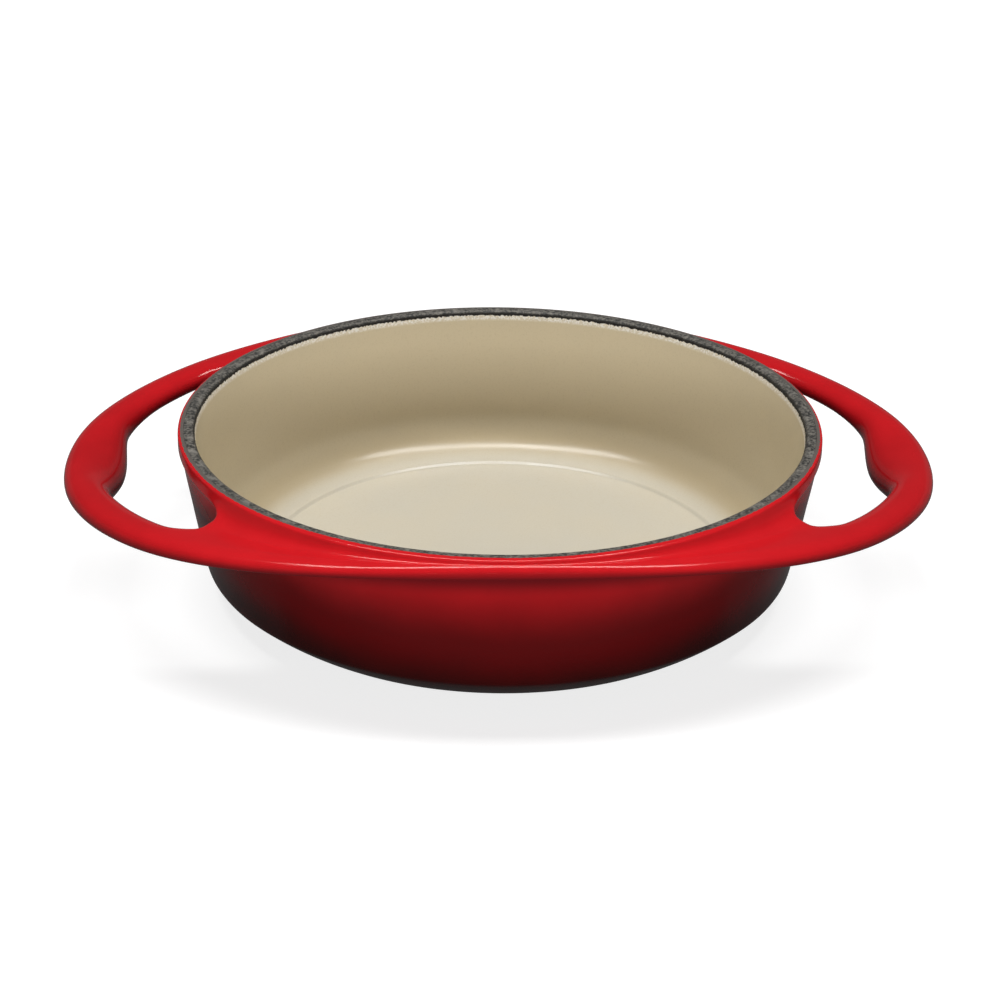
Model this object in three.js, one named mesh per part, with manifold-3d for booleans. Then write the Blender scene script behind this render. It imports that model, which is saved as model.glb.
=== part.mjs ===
// Tarte tatin dish: one iron casting with two loop handles, under its fired enamel coats.
// Millimetres, +Z up, X along the handles, origin at the middle of the face it rests on.

import * as THREE from 'three';
import { mergeVertices } from 'three/addons/utils/BufferGeometryUtils.js';
import Module from 'manifold-3d';

// Bowl outside
const dishHeight = 68.6;
const rimRadius = 130;
const collarDepth = 6;
const collarStep = 1.4;
const collarFillet = 2.6;
const wallTaper = 9.4;
const wallFootHeight = 12.6;
const footCurveInset = 11.8;
const footCurveHeight = 1.6;
const footWidth = 16.6;

// Bowl inside
const rimWidth = 6.8;
const floorHeight = 4.6;
const wallFootThickness = 2.6;
const coveRadius = 19;
const floorFallWidth = 5;
const floorFall = 0.4;

// Rim
const rimOuterRound = 1.9;
const rimInnerRound = 1.7;
const rimCoatLap = 2.2;

// Ring and loop handles
const handleReach = 46.4;
const beadProud = 2.7;
const outlinePower = 2.09;
const ringTopDrop = 1.6;
const tipDrop = 12.3;
const sideDepth = 5;
const tipDepth = 8.8;
const edgeRound = 5;
const upperEdgeShare = 0.62;
const lowerEdgeShare = 0.2;
const barWidth = 16.2;
const gripBulge = 7.6;
const gripDroop = 5.5;
const gripHalfAngle = 12;
const gripSharpness = 1.4;
const gapHalfAngle = 36;
const gapEndBlend = 5;

// Coats
const coatThickness = 0.5;
const coatGap = 0.3;

// Facets
const turnSegments = 64;
const footSteps = 4;
const coveSteps = 5;
const roundSteps = 2;
const edgeSteps = 3;
const gripSteps = 4;
const barSteps = 5;
const gapEndSteps = 5;
const webSteps = 7;
const quarterTurn = 90;
const weldTolerance = 1e-4;

const wallFootRadius = rimRadius - wallTaper;
const footCurveRadius = wallFootRadius - footCurveInset;
const baseRadius = wallFootRadius - footWidth;
const innerFootRadius = wallFootRadius - wallFootThickness;
const floorFlatRadius = innerFootRadius - coveRadius - floorFallWidth;
const tipRadius = rimRadius + handleReach;
const sideRadius = rimRadius + beadProud;
const rimInnerRadius = rimRadius - rimWidth;
const rimCoatRadius = rimRadius - rimOuterRound;
const coveTop = floorHeight + floorFall + coveRadius;
const ironInset = coatThickness + coatGap;

const wasm = await Module();
wasm.setup();

// Solids and geometry

function toSolid(geometry) {
  const bare = geometry.clone();
  bare.deleteAttribute('normal');
  bare.deleteAttribute('uv');
  const merged = mergeVertices(bare, weldTolerance);
  const corners = merged.index.array;
  const triangles = [];
  for (let i = 0; i < corners.length; i += 3) {
    const [a, b, c] = [corners[i], corners[i + 1], corners[i + 2]];
    if (a !== b && b !== c && c !== a) triangles.push(a, b, c);
  }
  return new wasm.Manifold(new wasm.Mesh({
    numProp: 3,
    vertProperties: new Float32Array(merged.attributes.position.array),
    triVerts: new Uint32Array(triangles),
  }));
}

function toGeometry(solid) {
  const mesh = solid.getMesh();
  const geometry = new THREE.BufferGeometry();
  geometry.setAttribute('position', new THREE.BufferAttribute(mesh.vertProperties, 3));
  geometry.setIndex(new THREE.BufferAttribute(mesh.triVerts, 1));
  geometry.computeVertexNormals();
  return geometry;
}

// Turns a profile of (radius, height) points about the Z axis.
function turned(profile) {
  return toSolid(new THREE.LatheGeometry(profile, turnSegments).rotateX(Math.PI / 2));
}

// Moves a line of points to the left of its direction of travel.
function offsetLine(points, distance, closed = false) {
  const last = points.length - 1;
  return points.map((point, i) => {
    const before = points[i > 0 ? i - 1 : closed ? last : 0];
    const after = points[i < last ? i + 1 : closed ? 0 : last];
    const arrive = point.clone().sub(before);
    const leave = after.clone().sub(point);
    if (arrive.lengthSq() === 0) arrive.copy(leave);
    if (leave.lengthSq() === 0) leave.copy(arrive);
    arrive.normalize();
    leave.normalize();
    const normal = new THREE.Vector2(-arrive.y - leave.y, arrive.x + leave.x).normalize();
    const spread = normal.y * arrive.x - normal.x * arrive.y;
    return point.clone().addScaledVector(normal, distance / spread);
  });
}

// A quarter round about a centre, from one angle to another.
function roundPoints(radius, height, size, from, to, steps) {
  const arc = new THREE.EllipseCurve(radius, height, size, size, from, to, to < from);
  return arc.getPoints(steps);
}

// Section of the bowl, from the axis under the base, up the outside, over the rim and down to the floor

const footCurve = new THREE.QuadraticBezierCurve(
  new THREE.Vector2(baseRadius, 0),
  new THREE.Vector2(footCurveRadius, footCurveHeight),
  new THREE.Vector2(wallFootRadius, wallFootHeight),
);
const footPoints = footCurve.getPoints(footSteps);
const baseCoatEdge = footPoints[1];

function innerWallPoint(height) {
  const share = (height - coveTop) / (dishHeight - rimInnerRound - coveTop);
  return new THREE.Vector2(THREE.MathUtils.lerp(innerFootRadius, rimInnerRadius, share), height);
}

const baseLine = [new THREE.Vector2(0, 0), footPoints[0], baseCoatEdge];
const outerLine = [
  ...footPoints.slice(2),
  new THREE.Vector2(rimRadius - collarStep, dishHeight - collarDepth - collarFillet),
  new THREE.Vector2(rimRadius - collarStep / 4, dishHeight - collarDepth - collarFillet / 4),
  new THREE.Vector2(rimRadius, dishHeight - collarDepth),
  ...roundPoints(rimCoatRadius, dishHeight - rimOuterRound, rimOuterRound, 0, Math.PI / 2, roundSteps),
];
const rimLine = [
  outerLine.at(-1),
  ...roundPoints(
    rimInnerRadius + rimInnerRound, dishHeight - rimInnerRound, rimInnerRound,
    Math.PI / 2, Math.PI, roundSteps,
  ),
  innerWallPoint(dishHeight - rimCoatLap),
];
const liningLine = [
  innerWallPoint(dishHeight - rimCoatLap - coatGap),
  ...roundPoints(innerFootRadius - coveRadius, coveTop, coveRadius, 0, -Math.PI / 2, coveSteps),
  new THREE.Vector2(floorFlatRadius, floorHeight),
  new THREE.Vector2(0, floorHeight),
];
const sectionLine = [...baseLine, ...outerLine, ...rimLine.slice(1), ...liningLine];

// A coat that follows one stretch of the section.
function coatOver(line) {
  return turned([...line, ...offsetLine(line, coatThickness).reverse(), line[0]]);
}

// Ring with its two loop handles, drooping towards their tips

function outlineRadius(angle) {
  const across = (Math.abs(Math.cos(angle)) / tipRadius) ** outlinePower;
  const along = (Math.abs(Math.sin(angle)) / sideRadius) ** outlinePower;
  return (across + along) ** (-1 / outlinePower);
}

// Degrees from the nearest tip.
function tipTurn(angle) {
  return THREE.MathUtils.radToDeg(Math.atan2(Math.abs(Math.sin(angle)), Math.abs(Math.cos(angle))));
}

// 1 in the middle of a grip, 0 on the bars beside it.
function gripShare(angle) {
  return Math.max(0, 1 - (tipTurn(angle) / gripHalfAngle) ** 2) ** gripSharpness;
}

// Inside edge of the ring: the bar with its grip, then a round end where the ring runs into the wall.
function innerEdgeRadius(angle) {
  const turn = tipTurn(angle);
  const barEdge = outlineRadius(angle) - barWidth - gripBulge * gripShare(angle);
  const halfBlend = gapEndBlend / 2;
  const close = THREE.MathUtils.smoothstep(turn, gapHalfAngle - halfBlend, gapHalfAngle + halfBlend);
  return THREE.MathUtils.lerp(barEdge, innerFootRadius, close);
}

function quarterTurns() {
  const gapEnds = [gapHalfAngle - gapEndBlend / 2, gapHalfAngle + gapEndBlend / 2];
  const stops = [0, gripHalfAngle, ...gapEnds, quarterTurn];
  const counts = [gripSteps, barSteps, gapEndSteps, webSteps];
  return counts.flatMap((count, i) => (
    Array.from({ length: count }, (_, k) => THREE.MathUtils.lerp(stops[i], stops[i + 1], k / count))
  ));
}

function ringAngles() {
  const quarter = quarterTurns();
  const back = quarter.slice(1).reverse().map((turn) => 2 * quarterTurn - turn);
  const half = [...quarter, quarterTurn, ...back];
  return [...half, ...half.map((turn) => turn + 2 * quarterTurn)].map(THREE.MathUtils.degToRad);
}

function loopPoints(radiusAt) {
  return ringAngles().map((angle) => (
    new THREE.Vector2(Math.cos(angle), Math.sin(angle)).multiplyScalar(radiusAt(angle))
  ));
}

// 1 at the tips of the handles, 0 halfway between them.
function tipShare(x, y) {
  return x * x / (x * x + y * y);
}

// How far a grip hangs down at a point, most at its inner edge.
function gripFall(x, y) {
  const angle = Math.atan2(y, x);
  const share = gripShare(angle);
  const inwards = (outlineRadius(angle) - Math.hypot(x, y)) / (barWidth + gripBulge * share);
  return gripDroop * share * THREE.MathUtils.clamp(inwards, 0, 1) ** 2;
}

function ringTop(x, y) {
  return dishHeight - ringTopDrop - tipDrop * tipShare(x, y) - gripFall(x, y);
}

function ringDepth(x, y) {
  return THREE.MathUtils.lerp(sideDepth, tipDepth, tipShare(x, y));
}

// Inside the wall's thickness, where the ring is cut off.
function wallCore() {
  const low = (wallFootRadius + innerFootRadius) / 2;
  const high = rimRadius - rimWidth / 2;
  const length = dishHeight - wallFootHeight;
  const cone = new THREE.CylinderGeometry(high, low, length, turnSegments);
  return toSolid(cone.rotateX(Math.PI / 2).translate(0, 0, wallFootHeight + length / 2));
}

// Set-back and share of the depth at points up the side of the ring's section.
function sideStops() {
  const angles = Array.from({ length: edgeSteps + 1 }, (_, k) => k / edgeSteps * Math.PI / 2);
  const lower = angles.map((angle) => ({
    setBack: edgeRound * (1 - Math.sin(angle)),
    share: lowerEdgeShare * (1 - Math.cos(angle)),
  }));
  const upper = angles.map((angle) => ({
    setBack: edgeRound * (1 - Math.cos(angle)),
    share: 1 - upperEdgeShare * (1 - Math.sin(angle)),
  }));
  return [...lower, ...upper];
}

// Loops of points that run up the ring's outer side and down its inner side.
function ringLoops(inset) {
  const outline = loopPoints(outlineRadius);
  const innerEdge = loopPoints(innerEdgeRadius);
  const place = (points, share) => points.map(({ x, y }) => {
    const high = ringTop(x, y);
    const low = high - ringDepth(x, y);
    return new THREE.Vector3(x, y, THREE.MathUtils.lerp(low + inset, high - inset, share));
  });
  const stops = sideStops();
  const outer = stops.map(({ setBack, share }) => place(offsetLine(outline, inset + setBack, true), share));
  const innerLine = (setBack) => offsetLine(innerEdge, -inset - setBack, true);
  const inner = stops.map(({ setBack, share }) => place(innerLine(setBack), share));
  return [...outer, ...inner.reverse()];
}

function ring(inset) {
  const loops = ringLoops(inset);
  const count = loops[0].length;
  const index = [];
  loops.forEach((_, i) => {
    const row = i * count;
    const next = (i + 1) % loops.length * count;
    for (let j = 0; j < count; j += 1) {
      const k = (j + 1) % count;
      index.push(row + j, row + k, next + k, row + j, next + k, next + j);
    }
  });
  const geometry = new THREE.BufferGeometry().setFromPoints(loops.flat());
  geometry.setIndex(index);
  return toSolid(geometry).subtract(wallCore());
}

// The colour coat's limit: base edge, middle of the wall, outer edge of the bare rim.
function colourLimit() {
  const baseEdge = baseCoatEdge.x + coatGap;
  const rimEdge = rimCoatRadius + coatGap;
  const beyond = collarDepth;
  return turned([
    new THREE.Vector2(0, -beyond),
    new THREE.Vector2(baseEdge, -beyond),
    new THREE.Vector2(baseEdge, baseCoatEdge.y + 2 * coatThickness),
    new THREE.Vector2((wallFootRadius + innerFootRadius) / 2, wallFootHeight),
    new THREE.Vector2(rimRadius - rimWidth / 2, dishHeight - collarDepth),
    new THREE.Vector2(rimEdge, dishHeight - rimOuterRound),
    new THREE.Vector2(rimEdge, dishHeight + beyond),
    new THREE.Vector2(0, dishHeight + beyond),
  ]);
}

function wholeDish(inset) {
  return turned(offsetLine(sectionLine, inset)).add(ring(inset));
}

// Finishes

const finishes = {
  iron: { color: 0x4a4845, roughness: 0.7, metalness: 0.8 },
  cherryEnamel: { color: 0xc82026, roughness: 0.18, metalness: 0 },
  darkEnamel: { color: 0x1c0e0e, roughness: 0.35, metalness: 0 },
  sandEnamel: { color: 0xd2c8b0, roughness: 0.25, metalness: 0 },
  groundCoat: { color: 0x5a5752, roughness: 0.75, metalness: 0 },
};

const dish = new THREE.Group();

function addPiece(name, solid, finish) {
  const mesh = new THREE.Mesh(toGeometry(solid), new THREE.MeshStandardMaterial(finish));
  mesh.name = name;
  dish.add(mesh);
}

const colourCoat = wholeDish(0).subtract(wholeDish(coatThickness)).subtract(colourLimit());

addPiece('iron_casting', wholeDish(ironInset), finishes.iron);
addPiece('exterior_enamel', colourCoat, finishes.cherryEnamel);
addPiece('base_enamel', coatOver(baseLine), finishes.darkEnamel);
addPiece('interior_enamel', coatOver(liningLine), finishes.sandEnamel);
addPiece('rim_ground_coat', coatOver(rimLine), finishes.groundCoat);

export default dish;
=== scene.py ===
"""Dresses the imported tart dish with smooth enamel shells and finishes, in a plain studio."""
import logging
import math
from dataclasses import dataclass
from enum import Enum
from typing import Any, Callable

import bmesh
import bpy
from mathutils import Matrix, Vector


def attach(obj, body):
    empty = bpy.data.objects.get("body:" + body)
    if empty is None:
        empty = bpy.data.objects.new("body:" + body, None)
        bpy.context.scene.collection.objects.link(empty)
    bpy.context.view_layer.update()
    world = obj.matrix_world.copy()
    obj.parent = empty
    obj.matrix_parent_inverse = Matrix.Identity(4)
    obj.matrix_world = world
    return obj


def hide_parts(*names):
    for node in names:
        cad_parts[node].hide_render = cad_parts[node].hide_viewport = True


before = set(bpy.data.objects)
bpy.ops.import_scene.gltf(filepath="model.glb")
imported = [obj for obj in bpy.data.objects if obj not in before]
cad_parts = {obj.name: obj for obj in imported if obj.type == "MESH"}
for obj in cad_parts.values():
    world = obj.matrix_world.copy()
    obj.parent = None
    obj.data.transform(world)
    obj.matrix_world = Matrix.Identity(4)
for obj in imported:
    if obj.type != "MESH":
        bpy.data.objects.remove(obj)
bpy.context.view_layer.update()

MM = 0.001
MERGE_REACH = 1e-6
SMOOTH_ANGLE = 50.0
NOISE_MIDDLE = 0.5
WHITE = (1.0, 1.0, 1.0, 1.0)
# The Mix node's sockets that take and give colours
MIX_COLOURS = (6, 7)
MIX_RESULT = 2
log = logging.getLogger("tart_dish")

Pair = tuple[float, float]
Spot = Pair
Triple = tuple[float, float, float]
Colour = Triple
RowLaw = Callable[[float], Spot]


class Node(Enum):
    """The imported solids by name."""

    CASTING = "iron_casting"
    COLOUR = "exterior_enamel"
    BASE = "base_enamel"
    LINING = "interior_enamel"
    RIM = "rim_ground_coat"


class Slot(Enum):
    """Names of the slots for the coats' finishes."""

    RED = "red_enamel"
    DARK = "dark_enamel"
    SAND = "sand_enamel"
    GROUND = "ground_coat"


def mix(start: float, end: float, share: float) -> float:
    """Gives the value that lies a share of the way from start to end."""
    return start + (end - start) * share


def clamp(value: float, low: float, high: float) -> float:
    """Keeps a value between two limits."""
    return max(low, min(high, value))


def screen_colour(red: int, green: int, blue: int) -> Colour:
    """Turns a colour as a screen shows it into the light that it stands for.

    Args:
        red: Red from 0 to 255.
        green: Green from 0 to 255.
        blue: Blue from 0 to 255.

    Returns:
        The three linear values.
    """
    def linear(level: float) -> float:
        """Undoes the screen's curve on one channel."""
        return level / 12.92 if level <= 0.04045 else ((level + 0.055) / 1.055) ** 2.4

    return linear(red / 255), linear(green / 255), linear(blue / 255)


def turn_of(point: Vector) -> float:
    """Gives a point's angle in degrees from the nearer handle's tip, 0 to 90."""
    return math.degrees(math.atan2(abs(point.y), abs(point.x)))


def radius_of(point: Vector) -> float:
    """Gives a point's distance in millimetres from the dish's axis."""
    return math.hypot(point.x, point.y) / MM


def start_ring(name: str, corners: int, spot: Spot) -> bpy.types.Object:
    """Adds a level ring of edges round the axis and opens it for editing.

    Args:
        name: The piece's name.
        corners: How many corners the ring has.
        spot: Its radius and height in millimetres.

    Returns:
        The new piece, in edit mode with its ring selected.
    """
    bpy.ops.object.select_all(action="DESELECT")
    bpy.ops.mesh.primitive_circle_add(
        vertices=corners, radius=spot[0] * MM, fill_type="NOTHING", location=(0, 0, spot[1] * MM))
    bpy.ops.object.transform_apply(location=True, rotation=True, scale=True)
    piece = bpy.context.object
    piece.name = name
    piece.data.name = name
    bpy.ops.object.mode_set(mode="EDIT")
    bpy.ops.mesh.select_mode(type="EDGE")
    bpy.ops.mesh.select_all(action="SELECT")
    return piece


def extrude_selected() -> None:
    """Extrudes the selected edges on the spot, which leaves the new ones selected."""
    bpy.ops.mesh.extrude_region_move(TRANSFORM_OT_translate={"value": (0, 0, 0)})


def set_corner(corner: bmesh.types.BMVert, spot: Spot) -> None:
    """Moves a corner to a radius and height in millimetres, at the angle that it has."""
    level = corner.co.xy.normalized() * spot[0] * MM
    corner.co = (level.x, level.y, spot[1] * MM)


def place_selected(piece: bpy.types.Object, law: RowLaw) -> None:
    """Moves each selected corner to its row's radius and height, at the angle that it has.

    Args:
        piece: The piece in edit mode.
        law: Gives radius and height in millimetres for an angle from the handle's tip.
    """
    mesh = bmesh.from_edit_mesh(piece.data)
    for corner in mesh.verts:
        if corner.select:
            set_corner(corner, law(turn_of(corner.co)))
    bmesh.update_edit_mesh(piece.data)


def add_modifier(piece: bpy.types.Object, kind: str, **settings: Any) -> None:
    """Adds a modifier to the active piece and applies it.

    Args:
        piece: The active piece in object mode.
        kind: Blender's name for the modifier.
        settings: Its values by name.
    """
    bpy.ops.object.modifier_add(type=kind)
    modifier = piece.modifiers[-1]
    for name, value in settings.items():
        setattr(modifier, name, value)
    bpy.ops.object.modifier_apply(modifier=modifier.name)


def face_outward(piece: bpy.types.Object, outward: Callable[[Vector], Vector]) -> None:
    """Turns an open sheet's faces so that most point the asked way.

    Args:
        piece: The piece in edit mode.
        outward: Gives the outward direction at a place.
    """
    bpy.ops.mesh.select_all(action="SELECT")
    bpy.ops.mesh.remove_doubles(threshold=MERGE_REACH)
    bpy.ops.mesh.normals_make_consistent(inside=False)
    mesh = bmesh.from_edit_mesh(piece.data)
    agreement = sum(
        face.normal.dot(outward(face.calc_center_median())) * face.calc_area() for face in mesh.faces)
    if agreement < 0:
        bpy.ops.mesh.flip_normals()


def close_shell(piece: bpy.types.Object, levels: int, thickness: float) -> None:
    """Smooths an open sheet and gives it a wall on its inner side.

    Args:
        piece: The piece in edit mode.
        levels: How often it is subdivided.
        thickness: The wall in millimetres.
    """
    bpy.ops.object.mode_set(mode="OBJECT")
    add_modifier(piece, "SUBSURF", levels=levels, render_levels=levels)
    add_modifier(piece, "SOLIDIFY", thickness=thickness * MM, offset=-1.0, use_even_offset=False)
    bpy.ops.object.shade_smooth_by_angle(angle=math.radians(SMOOTH_ANGLE))


def hand_over(piece: bpy.types.Object, finish: "Finish", node: Node) -> None:
    """Dresses a piece, ties it to the dish's body and lets it stand for its solid.

    Args:
        piece: The finished piece.
        finish: What it is dressed with.
        node: The solid that it stands for.
    """
    piece.data.materials.clear()
    piece.data.materials.append(finish.material())
    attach(piece, "root")
    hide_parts(node.value)
    log.info("%s: %d faces", piece.name, len(piece.data.polygons))


@dataclass(frozen=True)
class Fade:
    """A smooth change: the first value up to start, the last from end on."""

    start: float
    end: float
    first: float = 0.0
    last: float = 1.0


@dataclass(frozen=True)
class Grain:
    """Noise with the fade that turns it into shares."""

    scale: float
    detail: float
    fade: Fade


@dataclass(frozen=True)
class Ripple:
    """Fired enamel's waves and orange peel, with the depth in metres and the strength of their bump."""

    wave_scale: float
    peel_scale: float
    peel_share: float
    depth: float
    strength: float


@dataclass(frozen=True)
class Ragged:
    """How unevenly a coat stops: the line's wander and softness in metres, and its noise scale."""

    reach: float
    softness: float
    grain: float


@dataclass(frozen=True)
class Place:
    """The outputs that tell where a point of the surface lies."""

    point: Any
    sideways: Any
    backward: Any
    height: Any
    radius: Any


class NodeSheet:
    """Wires the nodes of one material, group or world."""

    def __init__(self, tree: bpy.types.NodeTree) -> None:
        """Keeps the tree that nodes go into."""
        self.tree = tree

    def add(self, kind: str, inputs: dict[str, Any] | None = None, **settings: Any) -> bpy.types.Node:
        """Adds a node, sets its options and its inputs, and wires what is wired.

        Args:
            kind: Blender's type name of the node.
            inputs: Values, or other nodes' outputs, by input name.
            settings: The node's own options.

        Returns:
            The new node.
        """
        node = self.tree.nodes.new(kind)
        for name, value in settings.items():
            setattr(node, name, value)
        for name, value in (inputs or {}).items():
            self.feed(node.inputs[name], value)
        return node

    def feed(self, socket: bpy.types.NodeSocket, value: Any) -> None:
        """Wires an output into a socket, or sets the socket's value.

        Args:
            socket: The input socket.
            value: Another node's output, or a plain value.
        """
        if isinstance(value, bpy.types.NodeSocket):
            self.tree.links.new(value, socket)
        else:
            socket.default_value = value

    def math(self, operation: str, first: Any, second: Any = 0.0) -> bpy.types.NodeSocket:
        """Adds a sum of two values and gives its output.

        Args:
            operation: Blender's name for the sum.
            first: The first value.
            second: The second value.

        Returns:
            The sum's output.
        """
        node = self.add("ShaderNodeMath", operation=operation)
        self.feed(node.inputs[0], first)
        self.feed(node.inputs[1], second)
        return node.outputs[0]

    def times(self, first: Any, second: Any) -> bpy.types.NodeSocket:
        """Multiplies two values."""
        return self.math("MULTIPLY", first, second)

    def plus(self, first: Any, second: Any) -> bpy.types.NodeSocket:
        """Adds two values up."""
        return self.math("ADD", first, second)

    def minus(self, first: Any, second: Any) -> bpy.types.NodeSocket:
        """Takes the second value from the first."""
        return self.math("SUBTRACT", first, second)

    def over(self, first: Any, second: Any) -> bpy.types.NodeSocket:
        """Divides the first value by the second."""
        return self.math("DIVIDE", first, second)

    def ramp(self, value: Any, low: float, high: float, to_low: Any = 0.0,
             to_high: Any = 1.0) -> bpy.types.NodeSocket:
        """Maps a value from one range smoothly to another and gives the output.

        Args:
            value: What is mapped.
            low: The value that gives to_low.
            high: The value that gives to_high.
            to_low: The result at low.
            to_high: The result at high.

        Returns:
            The result's output.
        """
        node = self.add("ShaderNodeMapRange", interpolation_type="SMOOTHSTEP", inputs={
            "Value": value, "From Min": low, "From Max": high, "To Min": to_low, "To Max": to_high})
        return node.outputs["Result"]

    def fade(self, value: Any, fade: Fade) -> bpy.types.NodeSocket:
        """Maps a value by a fade and gives the output."""
        return self.ramp(value, fade.start, fade.end, fade.first, fade.last)

    def blend(self, share: Any, first: Any, second: Any) -> bpy.types.NodeSocket:
        """Mixes two colours by a share and gives the output.

        Args:
            share: How much of the second colour there is.
            first: A colour or an output.
            second: A colour or an output.

        Returns:
            The mixed colour's output.
        """
        node = self.add("ShaderNodeMix", data_type="RGBA", inputs={"Factor": share})
        for socket, colour in zip(MIX_COLOURS, (first, second)):
            wired = isinstance(colour, bpy.types.NodeSocket)
            self.feed(node.inputs[socket], colour if wired else (*colour, 1.0))
        return node.outputs[MIX_RESULT]

    def noise(self, place: Any, scale: Any, detail: float) -> bpy.types.NodeSocket:
        """Adds noise at a scale and gives its value."""
        node = self.add("ShaderNodeTexNoise", inputs={"Vector": place, "Scale": scale, "Detail": detail})
        return node.outputs["Fac"]

    def grain(self, place: Place, grain: Grain) -> bpy.types.NodeSocket:
        """Adds noise, maps it by the grain's fade and gives the output."""
        return self.fade(self.noise(place.point, grain.scale, grain.detail), grain.fade)


def new_group(name: str, inputs: dict[str, float], output: str) -> tuple[NodeSheet, Any, Any]:
    """Starts a shader node group with number inputs and one number output.

    Args:
        name: The group's name.
        inputs: Each input's name and usual value.
        output: The output's name.

    Returns:
        The group's sheet, its input node and its output node.
    """
    tree = bpy.data.node_groups.new(name, "ShaderNodeTree")
    for label, usual in inputs.items():
        socket = tree.interface.new_socket(name=label, in_out="INPUT", socket_type="NodeSocketFloat")
        socket.default_value = usual
    tree.interface.new_socket(name=output, in_out="OUTPUT", socket_type="NodeSocketFloat")
    sheet = NodeSheet(tree)
    return sheet, sheet.add("NodeGroupInput"), sheet.add("NodeGroupOutput")


def enamel_ripple() -> bpy.types.NodeTree:
    """Gives the group for fired enamel's slow waves and fine orange peel, made once.

    Returns:
        The node group.
    """
    name = "enamel_ripple"
    if name in bpy.data.node_groups:
        return bpy.data.node_groups[name]
    usual = {"Wave Scale": 90.0, "Peel Scale": 700.0, "Peel Share": 0.2}
    sheet, given, out = new_group(name, usual, "Height")
    point = sheet.add("ShaderNodeTexCoord").outputs["Object"]
    waves = sheet.noise(point, given.outputs["Wave Scale"], 1.0)
    peel = sheet.noise(point, given.outputs["Peel Scale"], 1.0)
    fine = sheet.times(peel, given.outputs["Peel Share"])
    sheet.feed(out.inputs["Height"], sheet.plus(waves, fine))
    return sheet.tree


def ragged_edge() -> bpy.types.NodeTree:
    """Gives the group for the uneven line where one coat stops on another, made once.

    Returns:
        The node group.
    """
    name = "ragged_edge"
    if name in bpy.data.node_groups:
        return bpy.data.node_groups[name]
    usual = {"Along": 0.0, "Edge": 0.0, "Reach": 0.001, "Softness": 0.0002, "Grain": 900.0}
    sheet, given, out = new_group(name, usual, "Mask")
    point = sheet.add("ShaderNodeTexCoord").outputs["Object"]
    drift = sheet.minus(sheet.noise(point, given.outputs["Grain"], 3.0), NOISE_MIDDLE)
    wander = sheet.times(drift, given.outputs["Reach"])
    along = sheet.minus(sheet.plus(given.outputs["Along"], wander), given.outputs["Edge"])
    share = sheet.over(along, given.outputs["Softness"])
    sheet.feed(out.inputs["Mask"], sheet.ramp(share, -1.0, 1.0))
    return sheet.tree


class Finish:
    """A named material with a Principled shader at its heart."""

    name: str = "finish"

    def material(self) -> bpy.types.Material:
        """Gives the finish's material, made on first use.

        Returns:
            The material.
        """
        if self.name in bpy.data.materials:
            return bpy.data.materials[self.name]
        material = bpy.data.materials.new(self.name)
        material.use_nodes = True
        material.node_tree.nodes.clear()
        sheet = NodeSheet(material.node_tree)
        shader = sheet.add("ShaderNodeBsdfPrincipled")
        out = sheet.add("ShaderNodeOutputMaterial")
        sheet.feed(out.inputs["Surface"], shader.outputs["BSDF"])
        self.wire(sheet, shader)
        return material

    def wire(self, sheet: NodeSheet, shader: bpy.types.Node) -> None:
        """Wires the finish's own nodes into its shader."""
        raise NotImplementedError

    @staticmethod
    def place(sheet: NodeSheet) -> Place:
        """Adds the nodes that tell where a point of the surface lies.

        Args:
            sheet: The material's nodes.

        Returns:
            Their outputs.
        """
        point = sheet.add("ShaderNodeTexCoord").outputs["Object"]
        parts = sheet.add("ShaderNodeSeparateXYZ", {"Vector": point})
        sideways, backward, height = (parts.outputs[axis] for axis in "XYZ")
        square = sheet.plus(sheet.times(sideways, sideways), sheet.times(backward, backward))
        return Place(point, sideways, backward, height, sheet.math("SQRT", square))

    @staticmethod
    def group(sheet: NodeSheet, tree: bpy.types.NodeTree, inputs: dict[str, Any]) -> Any:
        """Places a node group with its values and gives its output."""
        return sheet.add("ShaderNodeGroup", inputs, node_tree=tree).outputs[0]

    @staticmethod
    def bump(sheet: NodeSheet, shader: bpy.types.Node, height: Any, depth: float, strength: float) -> None:
        """Wires a height into the shader's normal, with its depth in metres."""
        node = sheet.add("ShaderNodeBump", {"Height": height, "Distance": depth, "Strength": strength})
        sheet.feed(shader.inputs["Normal"], node.outputs["Normal"])

    def past_edge(self, sheet: NodeSheet, along: Any, edge: Any, line: Ragged) -> Any:
        """Gives the mask of what lies past an uneven line.

        Args:
            sheet: The material's nodes.
            along: The measure that crosses the line.
            edge: That measure's value on the line.
            line: How uneven the line is.

        Returns:
            The mask's output.
        """
        return self.group(sheet, ragged_edge(), {
            "Along": along, "Edge": edge,
            "Reach": line.reach, "Softness": line.softness, "Grain": line.grain})

    def ripple_bump(self, sheet: NodeSheet, shader: bpy.types.Node, ripple: Ripple) -> None:
        """Wires fired enamel's ripple into the shader's normal."""
        height = self.group(sheet, enamel_ripple(), {
            "Wave Scale": ripple.wave_scale,
            "Peel Scale": ripple.peel_scale,
            "Peel Share": ripple.peel_share})
        self.bump(sheet, shader, height, ripple.depth, ripple.strength)


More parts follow.
